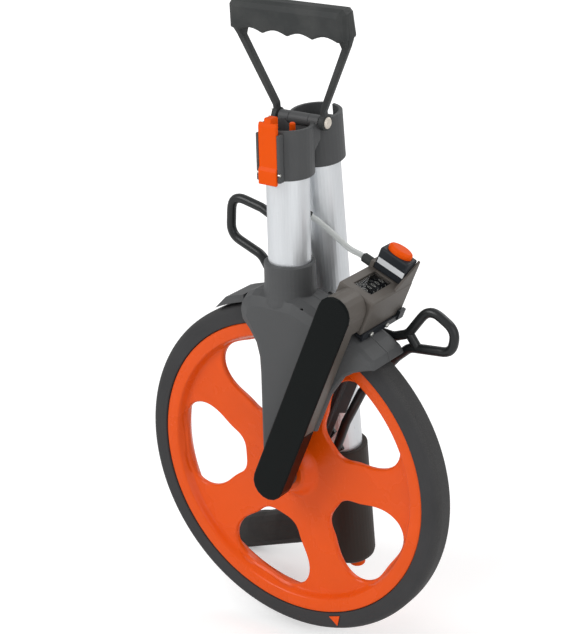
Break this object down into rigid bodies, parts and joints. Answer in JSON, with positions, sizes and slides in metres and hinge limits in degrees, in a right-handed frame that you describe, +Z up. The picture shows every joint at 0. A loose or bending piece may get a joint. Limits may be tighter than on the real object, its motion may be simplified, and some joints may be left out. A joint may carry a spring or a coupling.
{
  "type": "measuring wheel",
  "caption": "Folding measuring wheel: orange spoked wheel in a fork, belt driven counter with reset button, looped stand, pole folded at a latched hinge and a carry handle.",
  "frame": {"origin": "Middle of the underside of the box round the folded tool; the wheel centre is 0.1700 m above it and 0.0359 m in front of it.", "axes": "X is the rolling direction, Y runs along the axle from the belt side to the stand side, Z points up along the pole."},
  "size_m": [0.3184, 0.1558, 0.5914],
  "materials": {
    "orange_plastic": "moulded plastic, slightly glossy",
    "tyre_rubber": "matt rubber",
    "dark_plastic": "grained grey plastic",
    "black_plastic": "smooth black plastic",
    "black_rubber": "soft black rubber",
    "satin_aluminium": "satin anodised",
    "steel": "bright zinc plated",
    "coated_steel": "black powder coat",
    "white_plastic": "plain white sheet",
    "clear_plastic": "clear, slightly milky"
  },
  "bodies": {
    "frame": {"axle": "steel", "axle_nut": "steel", "axle_washer": "steel", "stand_bush": "steel", "fork_front_shell": "dark_plastic", "fork_rear_shell": "dark_plastic", "fork_screw_left": "steel", "fork_screw_right": "steel", "lower_tube": "satin_aluminium", "lower_socket": "dark_plastic", "hinge_bolt": "steel", "hinge_nut": "steel", "latch_pin": "steel", "latch_spring": "steel", "peg_guide": "black_plastic", "belt_case": "dark_plastic", "belt_cover": "black_plastic", "drive_belt": "black_rubber", "counter_housing": "dark_plastic", "counter_bracket": "black_plastic", "bracket_screw_front": "steel", "bracket_screw_rear": "steel", "counter_window": "clear_plastic", "label_plate": "white_plastic", "reset_block": "black_plastic", "cable_boot": "black_rubber", "reset_cable_hose": "clear_plastic", "reset_cable_core": "black_plastic", "cable_grommet": "black_rubber"},
    "wheel": {"tyre": "tyre_rubber", "wheel_disc": "orange_plastic", "zero_mark": "orange_plastic", "bearing_front": "steel", "bearing_rear": "steel", "drive_pulley": "black_plastic"},
    "counter_drive": {"counter_shaft": "steel", "counter_pulley": "black_plastic", "number_drum_1": "black_plastic"},
    "drum_2": {"number_drum_2": "black_plastic"},
    "drum_3": {"number_drum_3": "black_plastic"},
    "drum_4": {"number_drum_4": "black_plastic"},
    "drum_5": {"number_drum_5": "black_plastic"},
    "latch_lever": {"latch": "orange_plastic"},
    "left_stand": {"stand_leg_left": "coated_steel"},
    "right_stand": {"stand_leg_right": "coated_steel"},
    "reset_key": {"reset_button": "orange_plastic"},
    "peg": {"coupling_peg": "orange_plastic"},
    "bail": {"carry_handle": "black_rubber"},
    "upper_pole": {"upper_socket": "dark_plastic", "upper_tube": "satin_aluminium", "handle_body": "dark_plastic", "grip_sleeve": "black_rubber", "handle_screw_1": "steel", "handle_screw_2": "steel", "rod_guide": "black_plastic"},
    "thumb_key": {"thumb_button": "orange_plastic", "push_rod": "steel"}
  },
  "joints": [
    {"name": "wheel_spin", "type": "hinge", "parent": "frame", "child": "wheel", "pos_m": [0, -0.03589, 0.16997], "axis": [0, 1, 0], "continuous": true},
    {"name": "counter_spin", "type": "hinge", "parent": "frame", "child": "counter_drive", "pos_m": [0.07267, -0.03589, 0.34715], "axis": [0, 1, 0], "continuous": true},
    {"name": "drum_2_spin", "type": "hinge", "parent": "frame", "child": "drum_2", "pos_m": [0.07267, -0.03589, 0.34715], "axis": [0, 1, 0], "continuous": true},
    {"name": "drum_3_spin", "type": "hinge", "parent": "frame", "child": "drum_3", "pos_m": [0.07267, -0.03589, 0.34715], "axis": [0, 1, 0], "continuous": true},
    {"name": "drum_4_spin", "type": "hinge", "parent": "frame", "child": "drum_4", "pos_m": [0.07267, -0.03589, 0.34715], "axis": [0, 1, 0], "continuous": true},
    {"name": "drum_5_spin", "type": "hinge", "parent": "frame", "child": "drum_5", "pos_m": [0.07267, -0.03589, 0.34715], "axis": [0, 1, 0], "continuous": true},
    {"name": "pole_fold", "type": "hinge", "parent": "frame", "child": "upper_pole", "pos_m": [0, -0.01489, 0.48997], "axis": [1, 0, 0], "range_deg": [0, 173.85]},
    {"name": "carry_swing", "type": "hinge", "parent": "frame", "child": "bail", "pos_m": [0, -0.01489, 0.48997], "axis": [1, 0, 0], "range_deg": [0, 48.68]},
    {"name": "latch_open", "type": "hinge", "parent": "frame", "child": "latch_lever", "pos_m": [0, -0.06229, 0.45397], "axis": [1, 0, 0], "range_deg": [0, 12], "stiffness_Nm_per_rad": 0.3},
    {"name": "left_stand_swing", "type": "hinge", "parent": "frame", "child": "left_stand", "pos_m": [0, -0.00649, 0.16997], "axis": [0, 1, 0], "range_deg": [-112, 0]},
    {"name": "right_stand_swing", "type": "hinge", "parent": "frame", "child": "right_stand", "pos_m": [0, -0.00649, 0.16997], "axis": [0, 1, 0], "range_deg": [0, 90]},
    {"name": "reset_press", "type": "slide", "parent": "frame", "child": "reset_key", "axis": [-0.3795, 0, -0.9252], "range_m": [0, 0.003], "stiffness_N_per_m": 400},
    {"name": "peg_press", "type": "slide", "parent": "frame", "child": "peg", "axis": [0, 0, -1], "range_m": [0, 0.0045], "stiffness_N_per_m": 300},
    {"name": "thumb_press", "type": "slide", "parent": "upper_pole", "child": "thumb_key", "axis": [0, -0.1071, 0.9942], "range_m": [0, 0.0045], "stiffness_N_per_m": 400}
  ],
  "couplings": [
    {"joint": "counter_spin", "follows": "wheel_spin", "ratio": 1},
    {"joint": "drum_2_spin", "follows": "wheel_spin", "ratio": 0.1},
    {"joint": "drum_3_spin", "follows": "wheel_spin", "ratio": 0.01},
    {"joint": "drum_4_spin", "follows": "wheel_spin", "ratio": 0.001},
    {"joint": "drum_5_spin", "follows": "wheel_spin", "ratio": 0.0001},
    {"joint": "carry_swing", "follows": "pole_fold", "ratio": 0.28}
  ]
}
